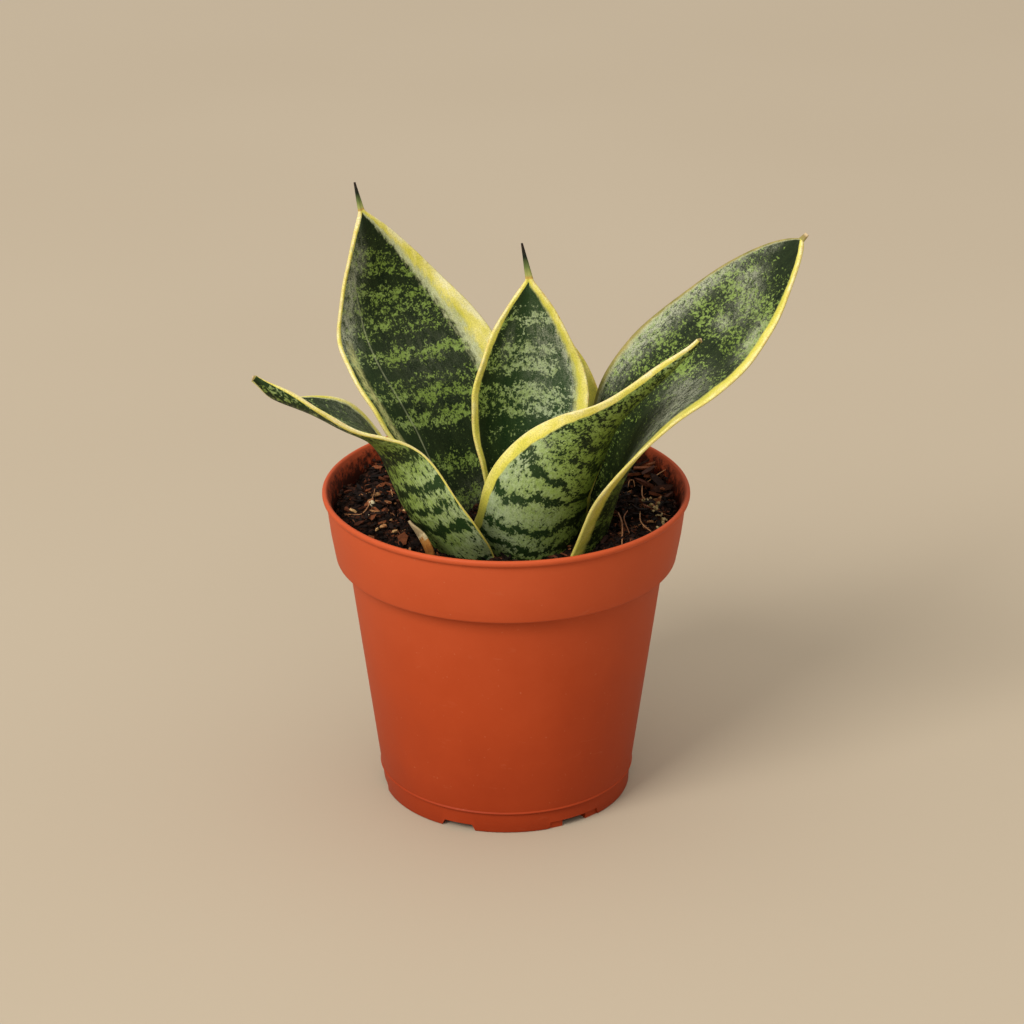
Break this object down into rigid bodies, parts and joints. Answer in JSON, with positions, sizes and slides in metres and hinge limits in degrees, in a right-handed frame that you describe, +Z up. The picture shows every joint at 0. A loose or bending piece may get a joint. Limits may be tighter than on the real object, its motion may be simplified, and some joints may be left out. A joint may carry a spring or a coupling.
{
  "type": "potted snake plant",
  "caption": "Dwarf variegated snake plant with a rosette of broad channelled leaves, growing in bark soil in a tapered round plastic nursery pot.",
  "frame": {"origin": "on the pot's axis, on the surface that the pot stands on", "axes": "+Z up, -Y the front of the plant, +X to the right as seen from the front"},
  "size_m": [0.153, 0.105, 0.1749],
  "materials": {
    "pot": "matt moulded terracotta-orange plastic",
    "soil": "loose dark bark and fibre potting mix with pale grains",
    "rhizome": "dull orange-brown fibrous stem and roots",
    "leaf": "smooth waxy leaf, dark green with pale green mottling in cross bands and yellow margins",
    "dry_scale": "dry papery leaf scale"
  },
  "bodies": {
    "root": {"pot": "pot", "soil": "soil", "rhizome": "rhizome", "leaf_back_left": "leaf", "leaf_centre": "leaf", "leaf_back": "leaf", "leaf_right": "leaf", "leaf_front": "leaf", "leaf_front_left": "leaf", "dry_scale": "dry_scale"}
  },
  "joints": []
}
